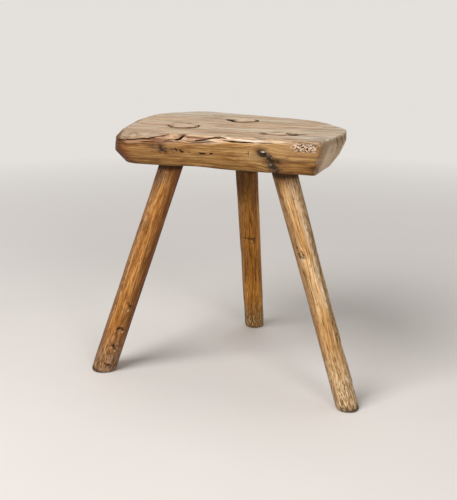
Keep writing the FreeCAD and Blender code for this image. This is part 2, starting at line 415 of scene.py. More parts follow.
# The same four sizes on the other edges, and what the right end's add to the first two.
PLAIN_EDGE = (0.35, 2.2, 0.6, 0.8)
END_EDGE_EXTRA = (2.6, 1.6)
# How round a pared edge is left, as a share of its cut.
EDGE_EASE = 0.2
# The top edge bulges out at the right end, and the front's lower edge is hollowed near the left leg.
END_BULGE = 2.4
BULGE_Y = -22
BULGE_REACH = 26
FRONT_HOLLOW = 1.7
HOLLOW_X = -18
HOLLOW_REACH = 30

# Cracks in the front: a path of X and Z, the half width and the depth.
FRONT_CRACKS = (
    (((-134, 347.4), (-127, 347.0), (-121, 348.2), (-114, 348.0), (-109, 349.2), (-101, 349.6), (-95, 351),
      (-85, 352), (-81, 351.9), (-76, 353.2), (-69, 355.2), (-64, 355.6), (-53, 358.2)), 0.62, 3.6),
    (((-43.5, 352.5), (-38.1, 353.3), (-35.5, 354.4), (-32.9, 356.3), (-31, 358), (-28.6, 359.8)), 1.35, 5.0),
    (((-15, 353), (-1.3, 355), (8, 357), (18.2, 358.8), (21, 359.4)), 0.7, 3.0),
    (((15, 356.6), (18, 358.4), (23, 358.2), (27, 357.6)), 0.75, 2.0),
    (((-26, 351.4), (-16, 351.8), (-6, 353.2), (4, 353.8)), 0.5, 1.2),
    (((-58, 350.4), (-50, 352.4), (-44, 352.6)), 0.5, 1.2),
    (((-128, 342.4), (-112, 343.2), (-96, 344.6), (-80, 345.4)), 0.4, 0.8),
    (((-124, 344.8), (-119, 345.6), (-113, 345.2)), 0.5, 1.2),
    (((-90, 347.2), (-80, 348.0), (-70, 348.4)), 0.5, 1.0),
    (((-60, 349.0), (-51, 350.6), (-44, 350.0)), 0.6, 1.2),
    (((-20, 350.0), (-8, 350.8), (2, 352.2), (12, 352.6)), 0.6, 1.6),
    (((23, 354.9), (34, 354.1), (46, 353.9), (56, 354.1), (64, 353.8)), 0.8, 2.0),
    (((64, 354.5), (75, 354.6), (88, 355.0)), 0.55, 1.2),
    (((-50, 339.6), (-45, 339.0)), 0.6, 0.9),
    (((-43.4, 341.4), (-41.6, 338.6), (-41, 336.8)), 1.3, 1.4),
    (((-37.8, 339.6), (-35.4, 337.4), (-31.6, 336.8)), 1.5, 1.4),
    (((-25, 337.0), (-23, 336.8)), 0.8, 1.2),
    (((-11, 337.2), (-7, 335.6), (-2.4, 336.8)), 1.1, 1.4),
    (((3.4, 336.0), (7.4, 337.0)), 1.4, 1.2),
    (((55.6, 343.6), (55.0, 340.4), (54.8, 337.4)), 0.6, 1.0),
    (((50, 339.4), (54.2, 340.2)), 0.4, 0.7),
    (((-60, 331), (-30, 329.6), (5, 330.4)), 0.3, 0.5),
    (((15, 345), (42, 346.2), (60, 345.4)), 0.35, 0.6),
    (((98, 333), (118, 331.5), (134, 332.5)), 0.4, 0.6),
    (((-20, 323.5), (30, 322), (62, 323)), 0.3, 0.5),
    (((132, 326.0), (138, 327.2)), 0.6, 0.9),
)
# Cracks in the right end: a path of Y and Z, the half width and the depth.
END_CRACKS = (
    (((-104, 359), (-102, 352), (-98, 344)), 1.3, 1.6),
    (((-86, 359), (-84, 350), (-82, 342)), 1.2, 1.6),
    (((-72, 359), (-74, 350)), 0.9, 1.2),
    (((-58, 359), (-58.5, 350), (-60, 341)), 0.8, 1.4),
    (((-116, 352), (-114, 345), (-113, 339)), 0.8, 1.0),
    (((-38, 357), (-38, 348)), 0.6, 1.0),
)
# The knot in the front: a path of X and Z down its dark heart.
KNOT = ((70.5, 341.6), (74.5, 340.2), (78.0, 338), (80.4, 334.6), (81.8, 329.8), (84.6, 324.8), (87.5, 320),
        (88.8, 317))
# The painted highlight on the knot: its place along X and Z, and its reach each way.
KNOT_GLINT = (74.4, 343.3, 2.4, 1.05)
# The reddish line of grain that curls away from the knot, in X and Z.
KNOT_CURL = ((84, 338.6), (88, 336.6), (94, 334.9), (101.8, 336.0), (107.2, 339.2), (112, 342.4))
# Places of X and Z that the grain in the front flows round, and how wide each is.
KNOT_EYES = ((75, 343, 6.5), (83, 329, 6.5))
# The painted highlight along the worn front edge, a thin pale line, in X and Z.
EDGE_HIGHLIGHT_LINE = ((20, 358.9), (27, 358), (36, 356.8), (45, 356.4), (55, 355.9), (65, 355.9), (75, 356.1),
              (84, 356.2), (94, 356.9), (107, 356.9), (117, 357.6))
# Soft patches on the front: the middle in X and Z, the reach each way, how sharp the border is, how strong.
PATCHES = {
    "smudge": (-61, 339.5, 6.4, 7.5, 4, 0.9),
    "smear": (-76, 342, 9, 5, 2, 0.6),
    "haze": (-52, 339, 24, 5, 2, 0.3),
    "grime": (-61, 340, 9, 6, 2, 0.7),
    # The next two patches are painted highlights on the knot.
    "low_glint": (82.6, 326.8, 1.6, 1.8, 2, 0.45),
    "small_glint": (79.6, 339.4, 0.9, 0.9, 2, 0.4),
    "heart": (74, 339.7, 5.4, 4.1, 4, 0.92),
    "green": (88, 331.6, 10, 4, 4, 0.95),
    "low_green": (86.5, 325.5, 5.5, 6, 4, 0.8),
    "rust": (90.5, 321, 4.5, 5, 2, 1),
    "pale_rust": (101, 331, 8, 6.5, 4, 0.75),
    "nook": (138.5, 324.5, 4, 5, 2, 0.5),
    "speckle": (129, 351, 17, 5.5, 4, 1),
}
# Where the middle of the tree lay, below and in front of the seat's own middle.
PITH_Y = -35
PITH_Z = 262
# Where along X the front face ends at the top, and how much nearer it ends at the underside.
END_CORNER = 150
UNDERSIDE_SHIFT = -10


def patch(points, name):
    """How strong one of the front's patches is at each point."""
    x, _, z = points.T
    middle_x, middle_z, reach_x, reach_z, power, strength = PATCHES[name]
    return strength * np.exp(-((x - middle_x) / reach_x) ** power - ((z - middle_z) / reach_z) ** power)


def edge_sizes(points):
    """The four sizes of the worn edge at each point."""
    x, y, _ = points.T
    front = ease(y, -108, -130)
    sizes = []
    for column, plain in zip(FRONT_EDGE.T[1:], PLAIN_EDGE):
        tabled = np.interp(x, FRONT_EDGE[:, 0], column)
        sizes.append(plain + (tabled - plain) * front)
    end = ease(x, 130, 142) * ease(y, -60, -90) * (1 - front)
    for index, extra in enumerate(END_EDGE_EXTRA):
        sizes[index] = sizes[index] + extra * end
    rough = 1 + 0.22 * noise(points, (22, 22, LONG), seed=12) + 0.16 * noise(points, (6, 6, LONG), seed=13)
    return [size * rough for size in sizes]


def pare(points, inset, inward, height, depth):
    """Cut the top edge back to a slope that starts height down the side and depth in from it."""
    short = 1 - (SEAT_TOP - points[:, 2]) / height - inset / depth
    cut = 0.5 * (short + np.sqrt(short ** 2 + EDGE_EASE ** 2))
    cut = np.where(short > -2, cut, 0) / (1 / height ** 2 + 1 / depth ** 2)
    points[:, 2] -= cut / height
    points[:, :2] += inward * (cut / depth)[:, None]
    return inset + cut / depth


def corner_line(points):
    """Where along X the front meets the right end, at each point's height."""
    return END_CORNER + UNDERSIDE_SHIFT * (SEAT_TOP - points[:, 2]) / SEAT_THICKNESS


def shape_slab(piece):
    """Wear the slab's edges, sink its top and hew its sides."""
    crisp = softened(piece, 1)
    worn = softened(piece, 4)
    share = 0.3 + 0.3 * np.clip(1.6 * rough_noise(crisp, (45, 45, 30), seed=3), -1, 1)
    for ring in RINGS.values():
        inset, _ = ring.inset(crisp)
        share *= ease(inset, -3, -9)
    points = crisp + (worn - crisp) * share[:, None]
    write_points(piece.data, points)
    normals = read_normals(piece.data)
    x, y, z = points.T

    inset, inward = SEAT_OUTLINE.inset(points)
    fall = top_fall(points) * ease(z, 340, SEAT_TOP)
    side = np.sqrt(np.clip(1 - normals[:, 2] ** 2, 0, 1)) * ease(inset, 24, 16)
    hewn = 0.8 * np.clip(noise(points, (50, 50, 15), seed=8), 0, 1) * (1 - 0.8 * ease(x, 90, 130))
    chatter = 0.1 + 0.1 * noise(points, (60, 60, 3.4), seed=9)
    below = ease(normals[:, 2], -0.5, -0.9)
    sawn = 0.9 * np.clip(noise(points, (60, 22, LONG), seed=10), 0, 1)
    height, depth, torn_height, torn_depth = edge_sizes(points)
    points -= normals * (side * (hewn + chatter) + below * sawn)[:, None]
    bulge = END_BULGE * np.exp(-((y - BULGE_Y) / BULGE_REACH) ** 2) * ease(x, 110, 138)
    points[:, :2] -= inward * (bulge * ease(inset, 24, 2) * ease(z, 330, 352))[:, None]
    hollow = FRONT_HOLLOW * np.exp(-((x - HOLLOW_X) / HOLLOW_REACH) ** 2) * ease(y, -100, -135)
    z += hollow * ease(z, 336, 319)
    inset = pare(points, inset, inward, height, depth)
    pare(points, inset, inward, torn_height, torn_depth)
    chipped = np.clip(0.3 + noise(points, (LONG, LONG, 6), seed=26), 0, 1) * ease(y, -128, -138)
    chipped *= ease(np.abs(x - corner_line(points)), 4.5, 0.5)
    x -= 2.0 * chipped
    y += 1.4 * chipped
    z -= fall + ring_steps(points) * ease(z, 350, 356)
    write_points(piece.data, points)


def front_share(points, inset):
    """One on the front face and its torn edge, and nought elsewhere."""
    corner = corner_line(points)
    share = ease(points[:, 1], -112, -120) * ease(inset, 22, 17)
    return share * ease(points[:, 0], corner, corner - 3)


def seat_marks(points, inset):
    """How deep the cracks go, and how dark they are, all over the slab."""
    x, _, z = points.T
    wobble = noise(points, (8, LONG, 3), seed=34)
    faces = (
        (ease(z, 352, 354) * ease(inset, 3, 7), top_marks(points)),
        (front_share(points, inset), crack_marks(points[:, (0, 2)], FRONT_CRACKS, wobble, *SIDE_STYLE)),
        (ease(x, 138, 142), crack_marks(points[:, (1, 2)], END_CRACKS, wobble, *SIDE_STYLE)),
    )
    return (most(*(share * marks[kind] for share, marks in faces)) for kind in (0, 1))


def near_marks(points, reach):
    """Which points of the slab lie within reach of a crack, a ring or the knot."""
    inset, _ = SEAT_OUTLINE.inset(points)
    face = points[:, (0, 2)]
    front = near_path(face, KNOT)[0] < reach + 1.5
    for path, half_width, _ in FRONT_CRACKS:
        front |= near_path(face, path)[0] < half_width + reach
    top = np.zeros(len(points), bool)
    for path, half_width, _ in TOP_CRACKS:
        if half_width > 1:
            top |= near_path(points[:, :2], path)[0] < half_width + reach
    for side in LEG_SIDES:
        top |= np.abs(ring_gap(side, points)[0]) < RING_HALF_WIDTH + reach * 0.6
    return front & (front_share(points, inset) > 0) | top & (points[:, 2] > 352) & (inset > 2)


def flow_round(across, along, reach):
    """How far a line of grain is pushed aside, at a place across and along from a knot's middle."""
    apart = across ** 2 + along ** 2 + (0.35 * reach) ** 2
    return -across * np.clip(reach ** 2 / apart, 0, 0.92)


def torn_share(points, inset, front, above):
    """How torn the wood under the worn front edge is, and how raw the wood under that is."""
    x, _, z = points.T
    _, _, height, depth = edge_sizes(points)
    frayed = 2.2 + 1.8 * rough_noise(points, (14, LONG, LONG), seed=25)
    strip = 1.1 - (SEAT_TOP - z) / (height + frayed * ease(x, -75, -45)) - inset / (depth + 1.5)
    torn = front * ease(strip, -0.2, 0.16) * ease(height, 3.0, 6.0) * ease(inset / depth, 1.5, 1.05)
    torn *= 1 - 0.85 * ease(above, 0.2, 1.4) * ease(x, -58, -70)
    return torn, 0.55 * front * ease(z, 341.5, 345.5) * ease(x, -52, -66) * ease(x, -124, -112)


def knot_share(points, front):
    """How far points lie from the knot's heart, and how much of the knot each is."""
    gap, along = near_path(points[:, (0, 2)], KNOT)
    edge = 5.4 - 1.4 * np.sin(np.pi * along) + 2.0 * rough_noise(points, (6, LONG, 6), seed=16)
    return gap, front * ease(gap, edge + 2.6, edge - 3.0)


def seat_grain(points, front):
    """Where points lie in the tree: two ways across its rings, and along it."""
    x, y, z = points.T
    drift = 5 * noise(points, (190, LONG, LONG), seed=18)
    lift = 2.5 * noise(points, (150, LONG, LONG), seed=19)
    rise = sum(front * flow_round(z - eye_z, (x - eye_x) * 0.55, reach) for eye_x, eye_z, reach in KNOT_EYES)
    return np.stack([y - PITH_Y + drift, z + rise - PITH_Z + lift, x * 0.75], axis=1)


def knot_looks(points, front, knot_gap, mottled):
    """The dirt round the knot, the painted highlights on it and the rusty grain below and beside it."""
    x, _, z = points.T
    glint_x, glint_z, reach_x, reach_z = KNOT_GLINT
    from_glint = np.hypot((x - glint_x) / reach_x, (z - glint_z) / reach_z)
    glint = most(np.exp(-from_glint ** 2), patch(points, "low_glint"), patch(points, "small_glint"))
    halo = 0.42 * ease(knot_gap + 3 * (mottled - 0.5), 14, 2)
    halo = most(halo, patch(points, "heart"), 0.4 * ease(from_glint, 3.2, 1.6)) * ease(from_glint, 0.8, 1.5)
    green = most(patch(points, "green"), patch(points, "low_green")) * (0.7 + 0.3 * mottled)
    curl_gap, curl_along = near_path(points[:, (0, 2)], KNOT_CURL)
    curl = 0.8 * ease(curl_gap, 1.9, 0.5) * ease(curl_along, 1.0, 0.7)
    rust = most(patch(points, "rust"), patch(points, "pale_rust"), curl)
    return front * most(halo, green), front * glint, front * rust


def rim_looks(points, inset, turned):
    """How stained the corners between the seat's faces are."""
    x, y, z = points.T
    off_corner = np.abs(x - corner_line(points) - 0.8) + 1.6 * noise(points, (LONG, 9, 9), seed=24)
    corner = 0.7 * ease(off_corner, 6.0, 1.0) * ease(y, -124, -138) * ease(z, 359, 354)
    left_rim = ease(x, -116, -127) * ease(y, 40, -70) * ease(inset, 15, 6)
    under = turned * ease(x, 120, 136) * ease(z, 358.8, 357) * ease(z, 349.5, 354) * ease(y, -30, -70)
    return most(corner, 0.6 * under, left_rim), left_rim


def worn_and_highlight_looks(points, front, above):
    """Where the top's scrubbed colour runs over the front edge, and the painted highlight line along that
    edge.
    """
    x, y, z = points.T
    ragged = 1.6 * rough_noise(points, (12, LONG, LONG), seed=28)
    right = 0.75 * ease(x, 84, 106) * ease(z + ragged, 351.5, 357.5)
    left = 0.85 * ease(above, 0.2, 1.4) * ease(x, -52, -66)
    gap, along = near_path(points[:, (0, 2)], EDGE_HIGHLIGHT_LINE)
    chalk = ease(gap, 1.25, 0.5) * (y < -136) * ease(along, 1.0, 0.75)
    chalk *= np.clip(0.7 + 0.8 * rough_noise(points, (16, LONG, LONG), seed=23), 0, 1)
    return front * most(right, left), chalk


def make_seat(material):
    piece = even_copy("seat", "seat_slab", SEAT_VOXEL)
    shape_slab(piece)
    for reach in SPLIT_REACHES:
        refine(piece, near_marks(read_points(piece.data), reach))

    points = read_points(piece.data)
    normals = read_normals(piece.data)
    x, y, z = points.T
    inset, _ = SEAT_OUTLINE.inset(points)
    front = front_share(points, inset)
    above = z - np.interp(x, *np.array(FRONT_CRACKS[0][0]).T)
    torn, raw = torn_share(points, inset, front, above)
    fibres = 0.5 + 0.5 * rough_noise(points, (26, 2.6, 1.7), seed=15)
    knot_gap, knot = knot_share(points, front)
    pits = 0.5 + 0.5 * rough_noise(points, (3.5, LONG, 3.5), seed=17)
    depth, dark = seat_marks(points, inset)
    points -= normals * (depth + torn * 0.9 * fibres + knot * (0.4 + 1.3 * pits))[:, None]
    write_points(piece.data, points)

    mottled = np.clip(0.5 + 1.1 * rough_noise(points, (3.4, LONG, 3.4), seed=21), 0, 1)
    blots = np.clip(0.5 + 2.2 * rough_noise(points, (4.6, LONG, 4.2), seed=27), 0, 1)
    smudge = most(patch(points, "smudge") * (0.25 + 0.75 * blots), patch(points, "smear") * blots,
                  patch(points, "haze"))
    knot_dirt, glint, rust = knot_looks(points, front, knot_gap, mottled)
    turned = ease(np.abs(normals[:, 0]), 0.5, 0.8)
    rim, left_rim = rim_looks(points, inset, turned)
    scrubbed, chalk = worn_and_highlight_looks(points, front, above)
    # The grime and nook patches are dirt on the front; the dark band along its lower edge is painted shade.
    face_dirt_and_shade = most(patch(points, "grime") * (0.3 + 0.7 * mottled), patch(points, "nook"),
                     0.4 * ease(z, 320.5, 317.5))
    shoulder = ease(x, -52, -90) * ease(y, -118, -134) * ease(z, 346, 350)
    store(
        piece.data,
        grain=seat_grain(points, front) * MM,
        polish=most(ease(normals[:, 2], 0.45, 0.8) * (1 - 0.75 * torn), scrubbed),
        # Dirt in cracks, rings, round the knot and at the left end, with painted shade along the front's lower
        # edge.
        dirt=np.clip(most(dark, knot_dirt, front * face_dirt_and_shade, 0.5 * left_rim), 0, 1),
        knot=np.clip(most(knot * (1 - 0.35 * mottled), front * smudge), 0, 1),
        corner=most(rim, rust),
        stain=most(top_stain(points) * ease(z, 352, 356), 0.34 * shoulder, 0.4 * scrubbed),
        light=front * ease(x, 30, 92) * ease(z, 326, 346) * (1 - 0.5 * ease(x, 128, 150)),
        torn=torn,
        # The painted highlight along the front edge.
        chalk=chalk,
        low=front * ease(z, 342, 322),
        aged=np.clip(ease(y, 20, 95) + 0.7 * ease(x, 90, 150), 0, 1),
        red=most(front * ease(x, -96, -128), 0.5 * torn * ease(x, -40, -100), raw),
        grey=turned * (1 - 0.6 * ease(x, 60, -60)),
        speckle=front * patch(points, "speckle"),
        # Painted highlights on the knot.
        glint=glint,
    )
    finish_piece(piece, "seat", material)


# The legs and wedges.


def leg_frame(side):
    """The middle of a leg's foot, and its own directions: across, across and up."""
    points = node_points(f"leg_{side}")
    ends = []
    for height in (points[:, 2].min(), points[:, 2].max()):
        rim = points[np.abs(points[:, 2] - height) < LEVEL_GAP]
        ends.append((rim.min(axis=0) + rim.max(axis=0)) / 2)
    foot, top = ends
    axis = (top - foot) / np.linalg.norm(top - foot)
    first = np.cross(axis, (0, 0, 1.0))
    first /= np.linalg.norm(first)
    return foot, np.stack([first, np.cross(axis, first), axis], axis=1)


# The flats that the shave left along each leg: the way each faces in degrees, the share of the leg's radius
# that it takes off, how grey it is, and how strong the painted highlight on it is.
LEG_FLATS = {
    "left": ((-52, 0.035, 0.6, 0), (-4, 0.022, 0, 0), (44, 0.03, 0, 0), (86, 0.025, 0.25, 0),
             (131, 0.03, 0, 0), (178, 0.03, 0.3, 0), (222, 0.025, 0, 0), (266, 0.03, 0, 0)),
    "right": ((-128, 0.025, 0, 1.0), (-176, 0.026, 0, 0.1), (143, 0.03, 0.15, 0), (98, 0.025, 0, 0),
              (55, 0.03, 0.3, 0), (12, 0.03, 0, 0), (-30, 0.03, 0, 0.2), (-66, 0.025, 0, 0),
              (-101, 0.03, 0.5, 0)),
    "rear": ((62, 0.025, 0.2, 0), (102, 0.03, 0, 0), (145, 0.03, 0.1, 0), (190, 0.025, 0, 0),
             (236, 0.03, 0.2, 0), (282, 0.03, 0, 0), (327, 0.03, 0, 0), (12, 0.03, 0.2, 0)),
}
# The radius that ways round a leg are turned into lengths with.
LEG_ROUND = 16
# How many degrees each leg's flats turn round it in a millimetre, and the height where they face as listed.
LEG_TWIST = {"left": 0.11, "right": -0.05, "rear": 0.04}
TWIST_MIDDLE = 200
# Marks on each leg: a path of ways in degrees and heights up the leg, the half width and the depth.
LEG_MARKS = {
    "left": (
        (((28, 114), (38, 112)), 1.7, 1.5), (((12, 118), (28, 115)), 0.6, 0.8),
        (((4, 73), (14, 77), (24, 78)), 1.3, 1.4), (((24, 78), (38, 74)), 0.8, 1.0),
        (((8, 70), (2, 64)), 0.6, 0.7), (((12, 50), (15, 45)), 1.5, 1.4), (((15, 46), (28, 43)), 0.6, 0.8),
        (((-48, 211), (-47, 202)), 0.6, 0.8), (((-42, 140), (-36, 131)), 0.6, 0.6),
        (((0, 17), (14, 15.5), (30, 16.5)), 1.0, 1.4),
    ),
    "right": (
        (((165, 229), (167, 219), (178, 214), (196, 213)), 1.0, 1.5), (((182, 222), (190, 216)), 1.3, 1.3),
        (((161, 221), (168, 214)), 1.1, 1.2), (((165, 197), (163, 189)), 0.9, 0.9),
        (((210, 292), (213, 289)), 0.4, 0.5),
    ),
    "rear": (
        (((55, 188), (70, 190), (84, 189)), 0.7, 0.9), (((92, 189), (106, 188), (127, 188)), 0.9, 1.1),
        (((122, 187), (121, 178)), 0.8, 0.9),
    ),
}
# Chips that the marks left pale: the way, the height and the reach.
LEG_CHIPS = {
    "left": ((30, 106, 2.0), (12, 68, 2.0), (32, 71, 1.9), (42, 72, 1.2), (6, 44, 1.4), (24, 40, 1.9),
             (34, 45, 1.4), (14, 7, 2.6), (30, 6.5, 2.8)),
    "right": ((180, 221, 1.8), (176, 186, 1.6), (212, 296, 2.0), (216, 282, 1.8)),
    "rear": ((60, 184, 1.2), (112, 183, 1.4)),
}
# Where each leg is flecked with pale chips: the way, the height, and the reach round and along it.
LEG_FLECKS = {"left": ((-18, 309, 8, 9), (20, 6, 12, 3.4)), "right": ((-148, 303, 6, 13),), "rear": ()}
# Middles of the grain's turns round the knots: the way, the height and the reach.
LEG_EYES = {
    "left": ((24, 112, 3.0), (24, 76, 3.4), (24, 45, 3.0)),
    "right": ((178, 218, 3.6),),
    "rear": ((104, 188, 3.0),),
}
# Where the shade under the seat starts on each leg and is full, how strong it is, and its darkest way.
LEG_SHADE = {"left": (290, 306, 0.12, 60), "right": (288, 306, 0.3, 0), "rear": (204, 268, 0.68, 40)}
# The heights between which the painted contact shadow in the crease under the seat fades in.
LEG_CONTACT_SHADOW = {"left": (298, 305), "right": (300, 308), "rear": (272, 285)}
# How far up each foot is scuffed grey, and the way that its chipped side faces, in degrees.
FOOT_SCUFF = {"left": (84, 12), "right": (100, 160), "rear": (74, 95)}
# The long strips of painted shade down each leg's sides: the way, how strong each is and how low it reaches.
LEG_SHADE_STRIPS = {
    "left": ((-68, 0.5, 0), (90, 0.35, 0)),
    "right": ((160, 0.42, 150), (140, 0.2, 0), (-92, 0.45, 110), (-74, 0.2, 0)),
    "rear": ((18, 0.45, 0), (184, 0.3, 0)),
}
# How strongly painted shade darkens the side of each leg that faces in and down.
LEG_INNER_SHADE = {"left": 1.0, "right": 1.0, "rear": 0.35}
# Heights between which a leg comes clear of the seat, and how far the kerf reaches from its axis.
BARE_BAND = (328, 312)
KERF_REACH = 12


def wrapped(turn):
    """An angle in radians brought to within half a turn of nought."""
    return (turn + np.pi) % (2 * np.pi) - np.pi


def from_flat(own, side, seed, index):
    """How far round the leg points lie from the middle of a flat, in radians."""
    drift = LEG_TWIST[side] * (own[:, 2] - TWIST_MIDDLE)
    drift += 7 * noise(own * (0, 0, 1), (LONG, LONG, 90), seed=seed + index)
    return wrapped(np.arctan2(own[:, 1], own[:, 0]) - np.radians(LEG_FLATS[side][index][0] + drift))


def shave(own, side, seed):
    """Take a leg's flats off its round, in its own frame."""
    across = np.hypot(own[:, 0], own[:, 1])
    radius = LEG_RADII[side](own[:, 2])
    bare = ease(own[:, 2], 326, 306)
    least = across.copy()
    for index, (_, share, _, _) in enumerate(LEG_FLATS[side]):
        share = share * (1 + 0.6 * noise(own * (0, 0, 1), (LONG, LONG, 70), seed=seed + index + 11)) * bare
        flat = radius * (1 - share) / np.clip(np.cos(from_flat(own, side, seed, index)), 0.2, 1)
        mean = (least + flat) / 2
        least = np.minimum(mean - 0.5 * np.sqrt((least - flat) ** 2 + 0.02) + 0.07, across)
    own[:, :2] *= (least / np.maximum(across, 0.01))[:, None]
    return own


def flat_looks(own, side, seed):
    """How grey the flats make a leg at each point, and how strong their painted highlights are."""
    looks = np.zeros((2, len(own)))
    patchy = np.clip(0.85 + 0.5 * noise(own, (9, 9, 50), seed=seed + 8), 0, 1)
    for index, (_, _, grey, pale) in enumerate(LEG_FLATS[side]):
        apart = np.abs(from_flat(own, side, seed, index))
        looks[0] = most(looks[0], grey * ease(apart, 0.44, 0.3) * patchy)
        looks[1] = most(looks[1], pale * ease(apart, 0.3, 0.06) * patchy)
    return looks


def leg_marks(own, side, seed, round_gap):
    """How deep a leg's marks go, how dark they are, and how pale its chips and flecks are."""
    up = own[:, 2]
    cut = np.zeros(len(own))
    dark = np.zeros(len(own))
    for path, half_width, full_depth in LEG_MARKS[side]:
        middle = path[0][0]
        flat_path = [(math.radians(way - middle) * LEG_ROUND, height) for way, height in path]
        gap, share = near_path(np.stack([round_gap(middle), up], axis=1), flat_path)
        width = half_width * (0.5 + 0.7 * np.sin(np.pi * np.clip(share, 0.03, 0.97)))
        gap = np.maximum(gap - 0.2 + 0.85 * noise(own, (2.5, 2.5, 2.5), seed=seed + 4), 0)
        cut = most(cut, full_depth * np.clip(1 - gap / width, 0, 1))
        core = min(1, 0.4 + 0.5 * half_width) * ease(gap, width * 1.25, width * 0.4)
        dark = most(dark, core, 0.4 * ease(gap, width * 3.5, width))
    chip = np.zeros(len(own))
    for way, height, reach in LEG_CHIPS[side]:
        gap = np.hypot(round_gap(way), up - height) + 0.8 * noise(own, (2.5, 2.5, 2.5), seed=seed + 9)
        chip = most(chip, ease(gap, reach, reach * 0.4))
    fleck = ease(noise(own, (1.7, 1.7, 3.0), seed=seed + 12), 0.05, 0.35)
    for way, height, reach, run in LEG_FLECKS[side]:
        zone = np.exp(-(round_gap(way) / reach) ** 4 - ((up - height) / run) ** 4)
        chip = most(chip, zone * (0.28 + 0.62 * fleck))
    return cut, dark, chip


def leg_shade(side, height, turn):
    """How dark painted shade makes a leg under the seat and in the crease there, at heights above the floor.
    """
    clear, dull, strongest, dark_way = LEG_SHADE[side]
    strongest = strongest * (0.85 + 0.3 * np.cos(turn - math.radians(dark_way)))
    return most(strongest * ease(height, clear, dull), 0.88 * ease(height, *LEG_CONTACT_SHADOW[side]))


def leg_shade_strips(own, side, seed, round_gap):
    """How dark the painted shade is in a leg's long strips."""
    streaks = 0.7 + 0.5 * noise(own, (8, 8, 60), seed=seed + 10)
    strips = np.zeros(len(own))
    for way, strength, lowest in LEG_SHADE_STRIPS[side]:
        strip = ease(np.abs(round_gap(way)), 8.5, 2.5) * ease(own[:, 2], lowest - 40, lowest + 20)
        strips = most(strips, strength * strip * streaks)
    return strips


def make_leg(side, material):
    foot, axes = leg_frame(side)
    piece = even_copy(f"leg_{side}", f"{side}_leg", LEG_VOXEL)
    points = softened(piece, 3)
    seed = 20 + 5 * LEG_SIDES.index(side)
    own = shave((points - foot) @ axes, side, seed)
    first, second, up = own.T
    points = foot + own @ axes.T
    write_points(piece.data, points)
    normals = read_normals(piece.data)

    top = ease(points[:, 2], *TOP_BAND)
    bare = ease(points[:, 2], *BARE_BAND)
    flank = np.sqrt(np.clip(1 - (normals @ axes[:, 2]) ** 2, 0, 1)) * bare
    shaved = 0.14 + 0.14 * noise(own, (12, 12, 80), seed=seed + 2)
    fibre = 0.09 + 0.09 * noise(own, (2.2, 2.2, 45), seed=seed + 1)
    turn = np.arctan2(second, first)
    scuffed, chip_way = FOOT_SCUFF[side]
    facing = np.cos(turn - np.radians(chip_way))
    broken = 0.5 + 0.5 * rough_noise(own, (7, 7, 7), seed=seed + 3)
    worn_rim = ease(up + 3 * facing, 10, 1) * (0.3 + 1.3 * broken * (0.5 + 0.5 * facing))

    def round_gap(way):
        return wrapped(turn - math.radians(way)) * LEG_ROUND

    cut, knot, chip = leg_marks(own, side, seed, round_gap)
    swirl = np.zeros(len(own))
    for way, height, reach in LEG_EYES[side]:
        swirl += flow_round(round_gap(way), (up - height) * 0.6, reach) / LEG_ROUND
    sink = flank * (shaved + fibre + worn_rim + cut + chip * 0.5 * (1 - knot))
    points -= normals * sink[:, None]
    depth, dark = top_marks(points)
    points[:, 2] -= top * (top_fall(points) + depth)
    write_points(piece.data, points)

    cosine, sine = np.cos(swirl), np.sin(swirl)
    grain = np.stack([first * cosine - second * sine, first * sine + second * cosine, up], axis=1)
    scuff = ease(up, scuffed, scuffed * 0.25) * (0.75 + 0.35 * rough_noise(own, (6, 6, 22), seed=seed + 6))
    grime = ease(up, 14, 2) * np.clip(0.35 + 0.8 * rough_noise(own, (5, 5, 5), seed=seed + 7), 0, 1)
    rim = 0.8 * ease(up - 3 * broken, 2.5, -1)
    # Painted shade and contact shadow under the seat, and painted shade strips down the sides.
    shade = leg_shade(side, points[:, 2], turn) * (1 - top)
    shade = most(shade, leg_shade_strips(own, side, seed, round_gap) * bare)
    flat_grey, flat_highlight = flat_looks(own, side, seed)
    store(
        piece.data,
        grain=grain * MM,
        polish=top,
        # Dirt in marks and at the foot, with painted shade under the seat and down the sides.
        dirt=np.clip(most(dark * top, knot * 0.9, grime * 0.7, rim, shade) * (1 - 0.85 * chip), 0, 1),
        stain=top_stain(points) * top,
        grey=np.clip(most(scuff, flat_grey * bare), 0, 1),
        # Painted shade on the side that faces in and down.
        inner=LEG_INNER_SHADE[side] * ease(np.sin(turn), -0.15, 0.95) * bare,
        # Pale chips and flecks, with the painted highlights on the flats.
        pale=most(flat_highlight * bare * ease(up, 120, 170), chip * (1 - knot)),
    )
    finish_piece(piece, f"leg_{side}", material)


def make_wedge(side, material):
    node = f"wedge_{side}"
    foot, axes = leg_frame(side)
    piece = even_copy(node, f"{side}_wedge", WEDGE_VOXEL)
    points = softened(piece, 2)
    top = ease(points[:, 2], *TOP_BAND)
    depth, dark = top_marks(points)
    points[:, 2] -= top * (top_fall(points) + depth * 0.8)
    write_points(piece.data, points)
    own = (points - foot) @ axes
    none = np.zeros(len(points))
    store(piece.data, grain=own * MM, polish=top, dirt=dark * top, stain=top_stain(points) * top, grey=none,
          inner=none, pale=none)
    finish_piece(piece, node, material)


def leg_radius(side):
    """A leg's radius at a height up its own axis, read off its CAD solid."""
    foot, axes = leg_frame(side)
    own = (node_points(f"leg_{side}") - foot) @ axes
    across = np.hypot(own[:, 0], own[:, 1])
    heights = np.linspace(own[:, 2].min() + 20, own[:, 2].max() - 20, 30)
    order = np.argsort(own[:, 2])
    order = order[across[order] > KERF_REACH]
    radii = np.interp(heights, own[order, 2], across[order])
    return lambda height: np.interp(height, heights, radii)


LEG_RADII = {side: leg_radius(side) for side in LEG_SIDES}


# Materials. A colour of three numbers is as a screen shows it, from 0 to 255, and one of four is linear.


def shader_colour(value):
    """A grey's one number, a screen colour or a shader's own colour, as the shader's four linear numbers."""
    if isinstance(value, float):
        return (value, value, value, 1.0)
    if len(value) == 4:
        return value
    shares = np.array(value) / 255
    return (*np.where(shares <= 0.04045, shares / 12.92, ((shares + 0.055) / 1.055) ** 2.4), 1.0)


